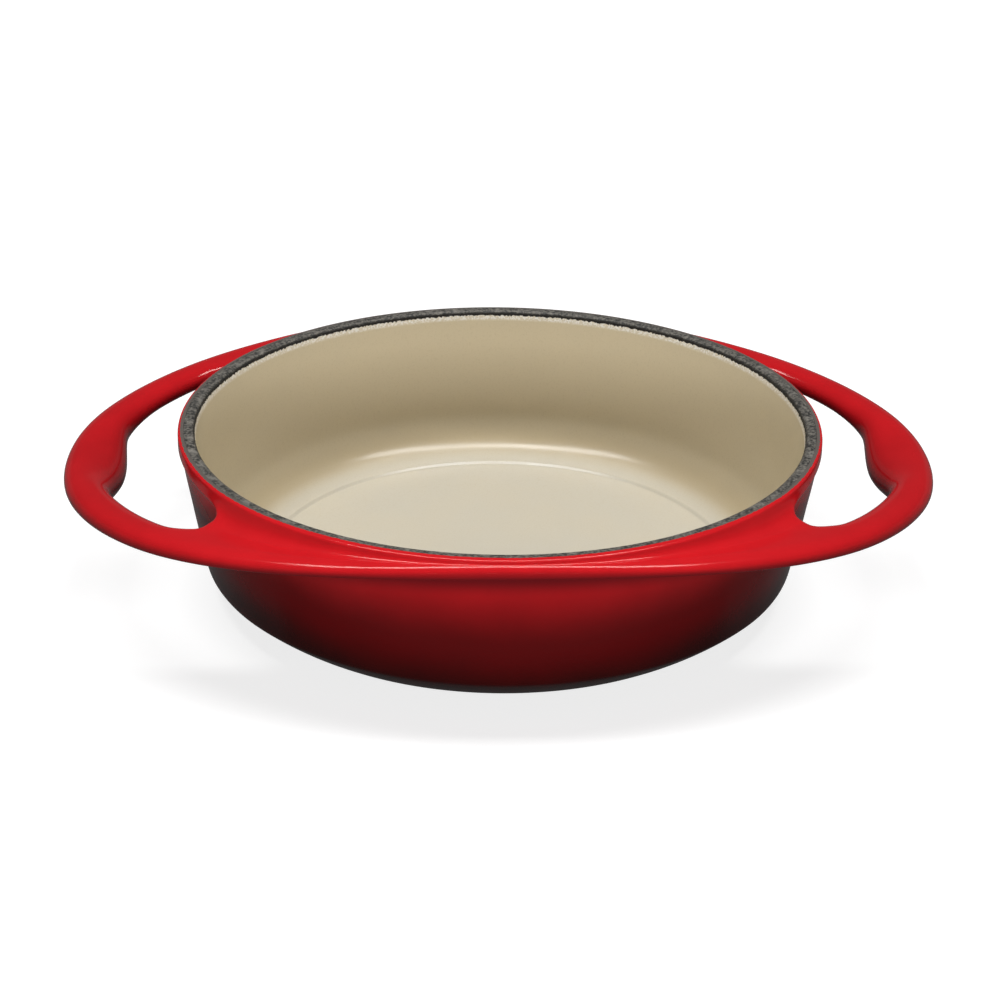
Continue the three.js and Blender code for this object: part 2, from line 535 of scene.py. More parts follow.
@dataclass(frozen=True)
class RedEnamel(Finish):
    """Gloss red enamel that was sprayed thinner towards the foot, where it turns near black, with painted
    shade that deepens the foot, lifts the dark below the handles and darkens downturned edges and the
    corner under the ring.
    """

    name: str = "fired_red"
    red: Colour = screen_colour(215, 30, 37)
    deep: Colour = screen_colour(102, 10, 13)
    foot: Colour = screen_colour(46, 16, 15)
    painted_shade: Colour = screen_colour(74, 15, 21)
    ground: Colour = screen_colour(96, 90, 85)
    cloud_scale: float = 28.0
    cloud_detail: float = 3.0
    cloud_reach: float = 9 * MM
    foot_fade: Fade = Fade(8 * MM, 30 * MM)
    wall_fade: Fade = Fade(30 * MM, 67 * MM)
    tone: Grain = Grain(60.0, 4.0, Fade(0.3, 0.7, 0.0, 0.08))
    # Painted shade below the handles: how far it lifts the dark fade at the sides, and where it stops.
    side_climb: Fade = Fade(0.93, 0.72, 0.0, 7 * MM)
    below_ring: Fade = Fade(60 * MM, 62 * MM, 1.0, 0.0)
    on_wall: Fade = Fade(129.4 * MM, 130.6 * MM, 1.0, 0.0)
    # Painted shade on the ring's downturned edges, and painted shadow in the corner under the ring.
    on_ring: Fade = Fade(129.6 * MM, 131.4 * MM)
    turned_away: Fade = Fade(0.55, -0.4, 0.0, 0.7)
    under_height: float = 62 * MM
    under_fall: float = 16.1 * MM
    corner_start: Fade = Fade(-0.4 * MM, 0.4 * MM)
    corner_end: Fade = Fade(1.5 * MM, 10 * MM, 0.8, 0.0)
    rim_line: Fade = Fade(-0.95, -0.5, 127.3 * MM, 128.9 * MM)
    rim_edge: Ragged = Ragged(1.0 * MM, 0.12 * MM, 600.0)
    rim_rise: Fade = Fade(67.3 * MM, 67.5 * MM)
    gloss: Grain = Grain(45.0, 3.0, Fade(0.3, 0.7, 0.1, 0.15))
    edge_roughness: float = 0.5
    ripple: Ripple = Ripple(80.0, 650.0, 0.12, 0.25 * MM, 0.35)
    shine: float = 0.27
    shine_tint: tuple[float, ...] = (1.0, 0.85, 0.8, 1.0)

    def wire(self, sheet: NodeSheet, shader: bpy.types.Node) -> None:
        """Wires the fade by height, the painted shade, the uneven rim line and the enamel's ripple.

        Args:
            sheet: The material's nodes.
            shader: The material's Principled shader.
        """
        place = self.place(sheet)
        drift = sheet.minus(sheet.noise(place.point, self.cloud_scale, self.cloud_detail), NOISE_MIDDLE)
        cloud = sheet.times(drift, self.cloud_reach)
        # Height with a random cloud, lowered by the painted shade at the sides below the handles.
        level = sheet.minus(sheet.plus(place.height, cloud), self.painted_side_shade(sheet, place))
        # Darker towards the foot: the enamel's own fade, partly painted shade near the foot.
        low = sheet.blend(sheet.fade(level, self.foot_fade), self.foot, self.deep)
        body = sheet.blend(sheet.fade(level, self.wall_fade), low, self.red)
        body = sheet.blend(sheet.grain(place, self.tone), body, self.deep)
        # Painted shade and shadow: the ring's downturned edges and the corner under it go dark.
        body = sheet.blend(self.painted_shadow_mask(sheet, place), body, self.painted_shade)
        edge = self.rim_mask(sheet, place)
        sheet.feed(shader.inputs["Base Color"], sheet.blend(edge, body, self.ground))
        matt = sheet.times(edge, self.edge_roughness)
        sheet.feed(shader.inputs["Roughness"], sheet.plus(sheet.grain(place, self.gloss), matt))
        self.ripple_bump(sheet, shader, self.ripple)
        shader.inputs["Specular IOR Level"].default_value = self.shine
        shader.inputs["Specular Tint"].default_value = self.shine_tint

    def painted_side_shade(self, sheet: NodeSheet, place: Place) -> Any:
        """Gives how far painted shade lifts the dark fade up the wall, most below the handles, where the
        ring overhangs it.

        Args:
            sheet: The material's nodes.
            place: Where the surface lies.

        Returns:
            The climb's output, in metres.
        """
        along = sheet.math("ABSOLUTE", place.backward)
        climb = sheet.fade(sheet.over(along, place.radius), self.side_climb)
        below = sheet.fade(place.height, self.below_ring)
        return sheet.times(climb, sheet.times(below, sheet.fade(place.radius, self.on_wall)))

    def painted_shadow_mask(self, sheet: NodeSheet, place: Place) -> Any:
        """Gives where shade is painted: on the ring's edges that turn down, and as a painted shadow in the
        corner under the ring.

        Args:
            sheet: The material's nodes.
            place: Where the surface lies.

        Returns:
            The mask's output.
        """
        facing = sheet.add("ShaderNodeNewGeometry").outputs["Normal"]
        upward = sheet.add("ShaderNodeSeparateXYZ", {"Vector": facing}).outputs["Z"]
        ring = sheet.fade(place.radius, self.on_ring)
        edges = sheet.times(sheet.fade(upward, self.turned_away), ring)
        across = sheet.over(place.sideways, place.radius)
        fall = sheet.times(sheet.times(across, across), self.under_fall)
        gap = sheet.minus(sheet.minus(self.under_height, fall), place.height)
        corner = sheet.times(sheet.fade(gap, self.corner_start), sheet.fade(gap, self.corner_end))
        return sheet.math("MAXIMUM", edges, sheet.times(corner, sheet.minus(1.0, ring)))

    def rim_mask(self, sheet: NodeSheet, place: Place) -> Any:
        """Gives where the ground coat shows through on the rim, further in at the front.

        Args:
            sheet: The material's nodes.
            place: Where the surface lies.

        Returns:
            The mask's output.
        """
        line = sheet.fade(sheet.over(place.backward, place.radius), self.rim_line)
        covered = self.past_edge(sheet, place.radius, line, self.rim_edge)
        raised = sheet.fade(place.height, self.rim_rise)
        return sheet.times(raised, sheet.minus(1.0, covered))


@dataclass(frozen=True)
class SandEnamel(Finish):
    """Satin sand-coloured enamel with painted shade low in the cove, that stops unevenly short of the rim.
    """

    name: str = "fired_sand"
    sand: Colour = screen_colour(209, 203, 187)
    warm: Colour = screen_colour(219, 205, 175)
    cove_shade: Colour = screen_colour(194, 174, 134)
    speck: Colour = screen_colour(188, 172, 138)
    pale: Colour = screen_colour(250, 246, 238)
    dark: Colour = screen_colour(36, 34, 32)
    cloud: Grain = Grain(25.0, 3.0, Fade(0.35, 0.65, 0.0, 0.15))
    wall_fade: Fade = Fade(97 * MM, 117 * MM)
    cove_shade_foot: Fade = Fade(5.4 * MM, 8.5 * MM)
    cove_shade_head: Fade = Fade(18 * MM, 10 * MM, 0.0, 0.5)
    specks: Grain = Grain(1300.0, 2.0, Fade(0.5, 0.72, 0.0, 0.16))
    hem_rise: Fade = Fade(63.8 * MM, 65.4 * MM)
    hem_grain: Grain = Grain(1100.0, 3.0, Fade(0.42, 0.6, 0.4, 1.0))
    edge_height: float = 66.5 * MM
    edge: Ragged = Ragged(2.2 * MM, 0.12 * MM, 800.0)
    gloss: Grain = Grain(60.0, 3.0, Fade(0.3, 0.7, 0.2, 0.27))
    edge_roughness: float = 0.4
    ripple: Ripple = Ripple(60.0, 600.0, 0.1, 0.25 * MM, 0.3)
    shine: float = 0.35

    def wire(self, sheet: NodeSheet, shader: bpy.types.Node) -> None:
        """Wires the sand tone, the painted shade in the cove, its faint specks, the pale hem, the uneven
        upper line and the ripple.

        Args:
            sheet: The material's nodes.
            shader: The material's Principled shader.
        """
        place = self.place(sheet)
        outer = sheet.fade(place.radius, self.wall_fade)
        wall = sheet.math("MAXIMUM", sheet.grain(place, self.cloud), outer)
        body = sheet.blend(wall, self.sand, self.warm)
        # Painted shade in the cove, between the floor and the lower wall.
        foot = sheet.fade(place.height, self.cove_shade_foot)
        cove_shade_share = sheet.times(foot, sheet.fade(place.height, self.cove_shade_head))
        body = sheet.blend(cove_shade_share, body, self.cove_shade)
        body = sheet.blend(sheet.grain(place, self.specks), body, self.speck)
        hem = sheet.times(sheet.fade(place.height, self.hem_rise), sheet.grain(place, self.hem_grain))
        body = sheet.blend(hem, body, self.pale)
        edge = self.past_edge(sheet, place.height, self.edge_height, self.edge)
        sheet.feed(shader.inputs["Base Color"], sheet.blend(edge, body, self.dark))
        matt = sheet.times(edge, self.edge_roughness)
        sheet.feed(shader.inputs["Roughness"], sheet.plus(sheet.grain(place, self.gloss), matt))
        self.ripple_bump(sheet, shader, self.ripple)
        shader.inputs["Specular IOR Level"].default_value = self.shine


@dataclass(frozen=True)
class GroundCoat(Finish):
    """Matt grey ground coat, stippled, and darker along both of its edges."""

    name: str = "bare_ground"
    grey: Colour = screen_colour(116, 112, 104)
    pale: Colour = screen_colour(150, 145, 136)
    dark: Colour = screen_colour(33, 32, 30)
    stipple_scale: float = 900.0
    stipple_detail: float = 4.0
    stipple_tone: Fade = Fade(0.35, 0.68)
    stipple_roughness: Fade = Fade(0.3, 0.7, 0.5, 0.75)
    stipple_depth: float = 0.5 * MM
    stipple_strength: float = 0.7
    patches: Grain = Grain(160.0, 3.0, Fade(0.52, 0.72, 0.0, 0.55))
    inner_radius: float = 123.7 * MM
    inner_edge: Ragged = Ragged(1.4 * MM, 0.35 * MM, 700.0)
    outer_radius: float = 128.0 * MM
    outer_edge: Ragged = Ragged(0.8 * MM, 0.2 * MM, 700.0)

    def wire(self, sheet: NodeSheet, shader: bpy.types.Node) -> None:
        """Wires the stipple, the dark edges and the rough grain.

        Args:
            sheet: The material's nodes.
            shader: The material's Principled shader.
        """
        place = self.place(sheet)
        stipple = sheet.noise(place.point, self.stipple_scale, self.stipple_detail)
        body = sheet.blend(sheet.fade(stipple, self.stipple_tone), self.dark, self.grey)
        body = sheet.blend(sheet.grain(place, self.patches), body, self.pale)
        inside = self.past_edge(sheet, place.radius, self.inner_radius, self.inner_edge)
        body = sheet.blend(inside, self.dark, body)
        outside = self.past_edge(sheet, place.radius, self.outer_radius, self.outer_edge)
        sheet.feed(shader.inputs["Base Color"], sheet.blend(outside, body, self.dark))
        sheet.feed(shader.inputs["Roughness"], sheet.fade(stipple, self.stipple_roughness))
        self.bump(sheet, shader, stipple, self.stipple_depth, self.stipple_strength)


@dataclass(frozen=True)
class BaseEnamel(Finish):
    """Dull near-black enamel under the dish, with rub marks where it stands."""

    name: str = "fired_dark"
    dark: Colour = screen_colour(27, 13, 13)
    worn: Colour = screen_colour(62, 50, 48)
    marks: Grain = Grain(130.0, 6.0, Fade(0.55, 0.72, 0.0, 0.5))
    standing: Fade = Fade(65 * MM, 98 * MM, 0.2, 1.0)
    standing_end: Fade = Fade(101 * MM, 103 * MM, 1.0, 0.0)
    dulling: Fade = Fade(0.0, 0.5, 0.45, 0.65)
    ripple: Ripple = Ripple(70.0, 500.0, 0.4, 0.3 * MM, 0.4)
    shine: float = 0.0

    def wire(self, sheet: NodeSheet, shader: bpy.types.Node) -> None:
        """Wires the rub marks, the gloss that they dull and the ripple.

        Args:
            sheet: The material's nodes.
            shader: The material's Principled shader.
        """
        place = self.place(sheet)
        standing = sheet.times(
            sheet.fade(place.radius, self.standing), sheet.fade(place.radius, self.standing_end))
        rubbed = sheet.times(sheet.grain(place, self.marks), standing)
        sheet.feed(shader.inputs["Base Color"], sheet.blend(rubbed, self.dark, self.worn))
        sheet.feed(shader.inputs["Roughness"], sheet.fade(rubbed, self.dulling))
        self.ripple_bump(sheet, shader, self.ripple)
        shader.inputs["Specular IOR Level"].default_value = self.shine


@dataclass(frozen=True)
class CastIron(Finish):
    """As-cast iron with sand grain, hidden under the coats."""

    name: str = "as_cast_iron"
    light: Colour = screen_colour(96, 92, 88)
    dark: Colour = screen_colour(58, 55, 53)
    grain_scale: float = 600.0
    grain_detail: float = 5.0
    grain_tone: Fade = Fade(0.35, 0.65)
    grain_roughness: Fade = Fade(0.3, 0.7, 0.55, 0.8)
    grain_depth: float = 0.4 * MM
    grain_strength: float = 0.6
    metallic: float = 0.6

    def wire(self, sheet: NodeSheet, shader: bpy.types.Node) -> None:
        """Wires the grain into colour, roughness and bump.

        Args:
            sheet: The material's nodes.
            shader: The material's Principled shader.
        """
        grain = sheet.noise(self.place(sheet).point, self.grain_scale, self.grain_detail)
        tone = sheet.fade(grain, self.grain_tone)
        sheet.feed(shader.inputs["Base Color"], sheet.blend(tone, self.dark, self.light))
        sheet.feed(shader.inputs["Roughness"], sheet.fade(grain, self.grain_roughness))
        shader.inputs["Metallic"].default_value = self.metallic
        self.bump(sheet, shader, grain, self.grain_depth, self.grain_strength)


@dataclass
class ColourCoat:
    """The red coat over wall, oval ring and loop handles. Sizes are in millimetres and degrees."""

    name: str = "colour_coat"
    rim_radius: float = 130.0
    dish_height: float = 68.6
    tip_radius: float = 176.4
    side_radius: float = 132.7
    oval_power: float = 2.09
    ring_drop: float = 1.6
    tip_drop: float = 12.3
    side_depth: float = 5.0
    tip_depth: float = 8.8
    bar_width: float = 16.2
    grip_bulge: float = 7.6
    grip_turn: float = 12.0
    grip_power: float = 1.4
    grip_droop: float = 5.5
    low_droop: float = 8.0
    low_spread: float = 1.6
    gap_turn: float = 35.1
    end_round: float = 4.0
    edge_round: float = 5.5
    inner_round: float = 4.8
    low_round: float = 3.2
    low_inner_round: float = 1.8
    edge_room: float = 10.0
    least_edge: float = 0.36
    low_lip: float = 1.4
    low_lip_share: float = 0.15
    web_turn: float = 26.5
    web_spread: float = 11.0
    web_power: int = 3
    ledge_height: float = 62.4
    ledge_step: float = 0.1
    ledge_tuck: float = 0.9
    ledge_share: float = 0.6
    rim_round: float = 0.9
    fillet_share: float = 0.75
    coat: float = 0.5
    levels: int = 2
    slack: float = 0.02
    edge_slack: float = 0.1
    turn_slack: float = 0.1
    quarter: tuple[float, ...] = (
        0, 3.5, 6.5, 9, 11, 13.2, 16, 20, 24.5, 28.8, 31.8, 33.7, 35.1, 37, 40, 44.5,
        50, 56, 62.5, 69, 76, 83, 90)
    foot_rows: tuple[Spot, ...] = (
        (107.3, 1.6), (109.9, 3.3), (112.7, 5.4), (115.6, 7.75), (118.5, 10.3), (120.5, 12.2),
        (121.05, 13.4), (121.7, 17.5), (123.0, 25.0), (124.7, 34.5))
    wall_drops: Pair = (4.0, 1.2)
    under_shares: Pair = (0.25, 0.75)
    side_spots: tuple[Pair, ...] = ((0.4, 0.12), (-0.2, 0.42), (1.1, 0.82))
    hollow_shares: Pair = (0.7, 0.3)
    hollow_sag: float = 2.0
    sweep_spots: tuple[tuple[float, float, Spot], ...] = (
        (0.234, 0.357, (130.05, 64.4)), (0.741, 0.034, (130.0, 66.4)))
    rim_rows: tuple[Spot, ...] = ((130.0, 67.8), (129.5, 68.33), (128.6, 68.57), (127.6, 68.6))
    wall_foot: Spot = (120.85, 12.6)
    wall_head: Spot = (128.9, 60.0)
    gap_wall_high: Pair = (0.6, 0.78)
    gap_wall_low: Pair = (-0.2, 0.32)

    def wall(self, height: float) -> float:
        """Gives the wall's radius at a height."""
        share = (height - self.wall_foot[1]) / (self.wall_head[1] - self.wall_foot[1])
        return mix(self.wall_foot[0], self.wall_head[0], share)

    def outline(self, turn: float) -> float:
        """Gives the ring's outer radius at a turn from the tip.

        Args:
            turn: The angle from the tip.

        Returns:
            The radius.
        """
        along = math.cos(math.radians(turn)) / self.tip_radius
        across = math.sin(math.radians(turn)) / self.side_radius
        return (along ** self.oval_power + across ** self.oval_power) ** (-1 / self.oval_power)

    def tip_share(self, turn: float) -> float:
        """Gives how far a turn lies towards the tip, 1 at the tip and 0 at the side."""
        return math.cos(math.radians(turn)) ** 2

    def top(self, turn: float) -> float:
        """Gives the height of the ring's top."""
        return self.dish_height - self.ring_drop - self.tip_drop * self.tip_share(turn)

    def depth(self, turn: float) -> float:
        """Gives the ring's depth from top to underside."""
        return mix(self.side_depth, self.tip_depth, self.tip_share(turn))

    def bottom(self, turn: float) -> float:
        """Gives the height of the ring's underside."""
        return self.top(turn) - self.depth(turn)

    def inner(self, turn: float) -> float:
        """Gives the radius of a handle bar's inner side, with the grip's bulge and the gap's round end.

        Args:
            turn: The angle from the tip.

        Returns:
            The radius.
        """
        side = self.outline(turn) - self.bar_width - self.grip_bulge * self.grip_share(turn)
        close = clamp((turn - self.gap_turn + self.end_round) / self.end_round, 0.0, 1.0)
        return mix(side, self.rim_radius, 0.5 * close ** 2)

    def grip_share(self, turn: float, spread: float = 1.0) -> float:
        """Gives 1 in the middle of a grip and 0 on the bars beside it."""
        return max(0.0, 1 - (turn / self.grip_turn / spread) ** 2) ** self.grip_power

    def grip_fall(self, turn: float, radius: float, below: bool = False) -> float:
        """Gives how far a grip hangs down at a place, most at its inner side.

        Args:
            turn: The angle from the tip.
            radius: The place's radius.
            below: Whether the place is on the underside, which hangs lower and over a wider arc.

        Returns:
            The fall.
        """
        width = self.bar_width + self.grip_bulge * self.grip_share(turn)
        inwards = clamp((self.outline(turn) - radius) / width, 0.0, 1.0)
        hang = self.grip_droop * self.grip_share(turn)
        if below:
            hang = self.low_droop * self.grip_share(turn, self.low_spread)
        return hang * inwards ** 2

    def edge_scale(self, turn: float) -> float:
        """Gives how much of the full edge rounding fits on the ring."""
        return clamp((self.outline(turn) - self.rim_radius) / self.edge_room, self.least_edge, 1.0)

    def web_share(self, turn: float) -> float:
        """Gives 0 beside a finger gap and 1 on the solid web, through the gap's end."""
        return clamp((turn - self.web_turn) / self.web_spread, 0.0, 1.0) ** self.web_power

    def climb(self, turn: float, lift: float, reach: float, ledge: Spot) -> Spot:
        """Gives a spot on the sweep from the ring's top up to the rim.

        Args:
            turn: The angle from the tip.
            lift: Share of the sweep's height.
            reach: Share of its width out from the rim.
            ledge: The spot on the collar that takes its place beside a gap.

        Returns:
            Radius and height.
        """
        height = self.dish_height - self.rim_round - self.top(turn)
        sweep = (self.rim_radius + reach * self.fillet_share * height, self.top(turn) + lift * height)
        share = self.web_share(turn)
        return mix(ledge[0], sweep[0], share), mix(ledge[1], sweep[1], share ** 2)

    def top_root(self, turn: float) -> Spot:
        """Gives the foot of the sweep, or the collar's lower edge beside a gap."""
        return self.climb(turn, 0.0, 1.0, (self.rim_radius + self.ledge_step, self.ledge_height))

    def top_edge(self, turn: float) -> Spot:
        """Gives where the ring's flat top starts to round over outwards."""
        return self.outline(turn) - self.edge_round * self.edge_scale(turn), self.top(turn)

    def low_root(self, turn: float) -> Spot:
        """Gives where the underside leaves the wall.

        Args:
            turn: The angle from the tip.

        Returns:
            Radius and height.
        """
        wall = self.wall(self.bottom(turn))
        lip = min(self.low_lip, self.low_lip_share * (self.outline(turn) - wall))
        return wall + lip * self.web_share(turn), self.bottom(turn)

    def low_edge(self, turn: float) -> Spot:
        """Gives where the underside starts to round up outwards."""
        return self.outline(turn) - self.low_round * self.edge_scale(turn), self.bottom(turn)

    def bar_spot(
            self, turn: float, root: RowLaw, edge: RowLaw, setback: float, below: bool = False) -> Spot:
        """Gives the inner line of a bar, which runs on across the web at the share it has there.

        Args:
            turn: The angle from the tip.
            root: Where the ring meets the bowl.
            edge: Where the ring rounds over outwards.
            setback: How far the line lies behind the bar's inner side.
            below: Whether it is on the underside.

        Returns:
            Radius and height.
        """
        if turn <= self.gap_turn + self.turn_slack:
            radius = self.inner(turn) + setback
            return radius, edge(turn)[1] - self.grip_fall(turn, radius, below)
        end = self.gap_turn
        share = (self.inner(end) + setback - root(end)[0]) / (edge(end)[0] - root(end)[0])
        return mix(root(turn)[0], edge(turn)[0], share), edge(turn)[1]

    def top_bar(self, turn: float) -> Spot:
        """Gives the inner line of the ring's flat top."""
        return self.bar_spot(turn, self.top_root, self.top_edge, self.inner_round)

    def low_bar(self, turn: float) -> Spot:
        """Gives the inner line of the ring's underside."""
        return self.bar_spot(turn, self.low_root, self.low_edge, self.low_inner_round, below=True)

    def between(self, first: RowLaw, second: RowLaw, share: float, sag: float = 1.0) -> RowLaw:
        """Gives a row between two rows.

        Args:
            first: The row at share 0.
            second: The row at share 1.
            share: Where the new row lies in radius.
            sag: Power on the share's rest for the height, above 1 for a hollow.

        Returns:
            The new row.
        """
        def law(turn: float) -> Spot:
            """Mixes the two rows at one turn."""
            start, end = first(turn), second(turn)
            return mix(start[0], end[0], share), mix(end[1], start[1], (1 - share) ** sag)

        return law

    def level_row(self, spot: Spot) -> RowLaw:
        """Gives a row that is the same all the way round."""
        return lambda turn: spot

    def wall_row(self, drop: float) -> RowLaw:
        """Gives a row on the wall at a drop below the ring's underside."""
        return lambda turn: (self.wall(self.bottom(turn) - drop), self.bottom(turn) - drop)

    def side_row(self, inset: float, rise: float) -> RowLaw:
        """Gives a row on the ring's outer side at a share of its depth above the underside."""
        return lambda turn: (
            self.outline(turn) - inset * self.edge_scale(turn), self.bottom(turn) + rise * self.depth(turn))

    def sweep_row(self, lift: float, reach: float, ledge: Spot) -> RowLaw:
        """Gives a row on the sweep from the ring's top up to the rim."""
        return lambda turn: self.climb(turn, lift, reach, ledge)

    def rows(self) -> list[RowLaw]:
        """Lists the rows from the foot, out under the ring, over its top and up to the rim.

        Returns:
            The rows in order.
        """
        foot = [self.level_row(spot) for spot in self.foot_rows]
        under = [self.wall_row(drop) for drop in self.wall_drops] + [self.low_root]
        under += [self.between(self.low_root, self.low_bar, share) for share in self.under_shares]
        under += [self.low_bar, self.between(self.low_bar, self.low_edge, 0.5), self.low_edge]
        side = [self.side_row(inset, rise) for inset, rise in self.side_spots]
        over = [self.top_edge, self.between(self.top_bar, self.top_edge, 0.5), self.top_bar]
        for share in self.hollow_shares:
            over.append(self.between(self.top_root, self.top_bar, share, self.hollow_sag))
        sweep = [self.top_root] + [self.sweep_row(*spot) for spot in self.sweep_spots]
        rim = [self.level_row(spot) for spot in self.rim_rows]
        return foot + under + side + over + sweep + rim

    def spread_columns(self, piece: bpy.types.Object) -> None:
        """Moves the first ring's corners to the angles that the handles need.

        Args:
            piece: The coat in edit mode.
        """
        half = list(self.quarter) + [180 - turn for turn in reversed(self.quarter[:-1])]
        angles = half[:-1] + [turn + 180 for turn in half[:-1]]
        mesh = bmesh.from_edit_mesh(piece.data)
        ordered = sorted(mesh.verts, key=lambda corner: math.atan2(corner.co.y, corner.co.x) % math.tau)
        for corner, angle in zip(ordered, angles):
            radius = corner.co.xy.length
            corner.co.x = radius * math.cos(math.radians(angle))
            corner.co.y = radius * math.sin(math.radians(angle))
        bmesh.update_edit_mesh(piece.data)

    def in_gap(self, face: bmesh.types.BMFace) -> bool:
        """Tells whether a face of the ring lies across a finger gap."""
        return all(self.spans_gap(corner.co) for corner in face.verts)

    def spans_gap(self, place: Vector) -> bool:
        """Tells whether a corner lies between the wall and a bar's inner line, on top or below.

        Args:
            place: Where the corner is.

        Returns:
            True for a corner of the gap.
        """
        turn = turn_of(place)
        high = place.z / MM > mix(self.bottom(turn), self.top(turn), 0.5)
        root, bar = (self.top_root, self.top_bar) if high else (self.low_root, self.low_bar)
        within = root(turn)[0] - self.slack < radius_of(place) < bar(turn)[0] + self.slack
        return within and turn < self.gap_turn + self.turn_slack

    def open_gaps(self, piece: bpy.types.Object) -> None:
        """Cuts the two finger gaps through the ring and closes their sides.

        Args:
            piece: The coat in edit mode.
        """
        bpy.ops.mesh.select_mode(type="FACE")
        bpy.ops.mesh.select_all(action="DESELECT")
        mesh = bmesh.from_edit_mesh(piece.data)
        for face in mesh.faces:
            face.select_set(self.in_gap(face))
        bmesh.update_edit_mesh(piece.data)
        bpy.ops.mesh.delete(type="FACE")
        for side in (1, -1):
            self.line_gap(piece, side)

    def line_gap(self, piece: bpy.types.Object, side: int) -> None:
        """Bridges one gap's upper and lower edges and shapes the walls between them.

        Args:
            piece: The coat in edit mode.
            side: 1 for the gap on +X, -1 for the one on -X.
        """
        bpy.ops.mesh.select_mode(type="EDGE")
        bpy.ops.mesh.select_all(action="DESELECT")
        mesh = bmesh.from_edit_mesh(piece.data)
        low = (self.foot_rows[0][1] + self.edge_slack) * MM
        high = (self.rim_rows[-1][1] - self.edge_slack) * MM
        for edge in mesh.edges:
            middle = (edge.verts[0].co + edge.verts[1].co) / 2
            edge.select_set(edge.is_boundary and middle.x * side > 0 and low < middle.z < high)
        before = {corner.co.copy().freeze() for corner in mesh.verts}
        bmesh.update_edit_mesh(piece.data)
        bpy.ops.mesh.bridge_edge_loops(number_cuts=2, interpolation="LINEAR")
        mesh = bmesh.from_edit_mesh(piece.data)
        for corner in mesh.verts:
            if corner.co.copy().freeze() not in before:
                self.shape_gap_corner(corner)
        bmesh.update_edit_mesh(piece.data)

    def shape_gap_corner(self, corner: bmesh.types.BMVert) -> None:
        """Sets one corner of a gap's wall on the bar's inner side or under the collar.

        Args:
            corner: The corner.
        """
        turn = turn_of(corner.co)
        if turn > self.gap_turn - self.turn_slack:
            return
        height = corner.co.z / MM
        inner = self.inner(turn)
        if radius_of(corner.co) > mix(self.rim_radius, inner, 0.5):
            high = self.top(turn) - self.grip_fall(turn, inner)
            low = self.bottom(turn) - self.grip_fall(turn, inner, below=True)
            upper = height > mix(low, high, 0.5)
            setback, share = self.gap_wall_high if upper else self.gap_wall_low
            set_corner(corner, (inner + setback, mix(low, high, share)))
            return
        low = self.bottom(turn)
        upper = height > mix(low, self.ledge_height, 0.5)
        height = mix(low, self.ledge_height, self.ledge_share)
        if upper:
            height = self.ledge_height - self.ledge_tuck
        set_corner(corner, (self.wall(min(height, self.wall_head[1])), height))

    def build(self) -> bpy.types.Object:
        """Extrudes the coat row by row, opens the gaps and gives it its thickness.

        Returns:
            The finished coat.
        """
        rows = self.rows()
        piece = start_ring(self.name, 4 * (len(self.quarter) - 1), self.foot_rows[0])
        self.spread_columns(piece)
        for law in rows[1:]:
            extrude_selected()
            place_selected(piece, law)
        self.open_gaps(piece)
        face_outward(piece, lambda place: Vector((place.x, place.y, 0)).normalized())
        close_shell(piece, self.levels, self.coat)
        return piece

    def dress(self, piece: bpy.types.Object) -> None:
        """Gives the coat its red enamel."""
        hand_over(piece, RedEnamel(), Node.COLOUR)


@dataclass
class TurnedCoat:
    """A coat that goes round the dish's axis, from a line of radius and height."""

    name: str = "turned_coat"
    spots: tuple[Spot, ...] = ()
    corners: int = 64
    levels: int = 2
    coat: float = 0.5
    pole_radius: float = 5.0

    def line(self) -> list[Spot]:
        """Lists the coat's outer spots in millimetres, outermost first."""
        return list(self.spots)

    def outward(self, place: Vector) -> Vector:
        """Gives the direction that the coat faces at a place."""
        raise NotImplementedError

    def build(self) -> bpy.types.Object:
        """Extrudes and scales the ring along the line and gives the sheet its thickness.

        Returns:
            The finished coat.
        """
        # Subdividing pulls a ring's corners inwards, so they start a little further out
        swell = 6 / (4 + 2 * math.cos(math.tau / self.corners))
        spots = [(radius * swell, height) for radius, height in self.line()]
        piece = start_ring(self.name, self.corners, spots[0])
        for before, after in zip(spots, spots[1:]):
            rise = (after[1] - before[1]) * MM
            bpy.ops.mesh.extrude_region_move(TRANSFORM_OT_translate={"value": (0, 0, rise)})
            scale = after[0] / before[0]
            bpy.ops.transform.resize(value=(scale, scale, 1), center_override=(0, 0, 0))
        if self.line()[-1][0] < self.pole_radius:
            bpy.ops.mesh.merge(type="CENTER")
        face_outward(piece, self.outward)
        close_shell(piece, self.levels, self.coat)
        return piece


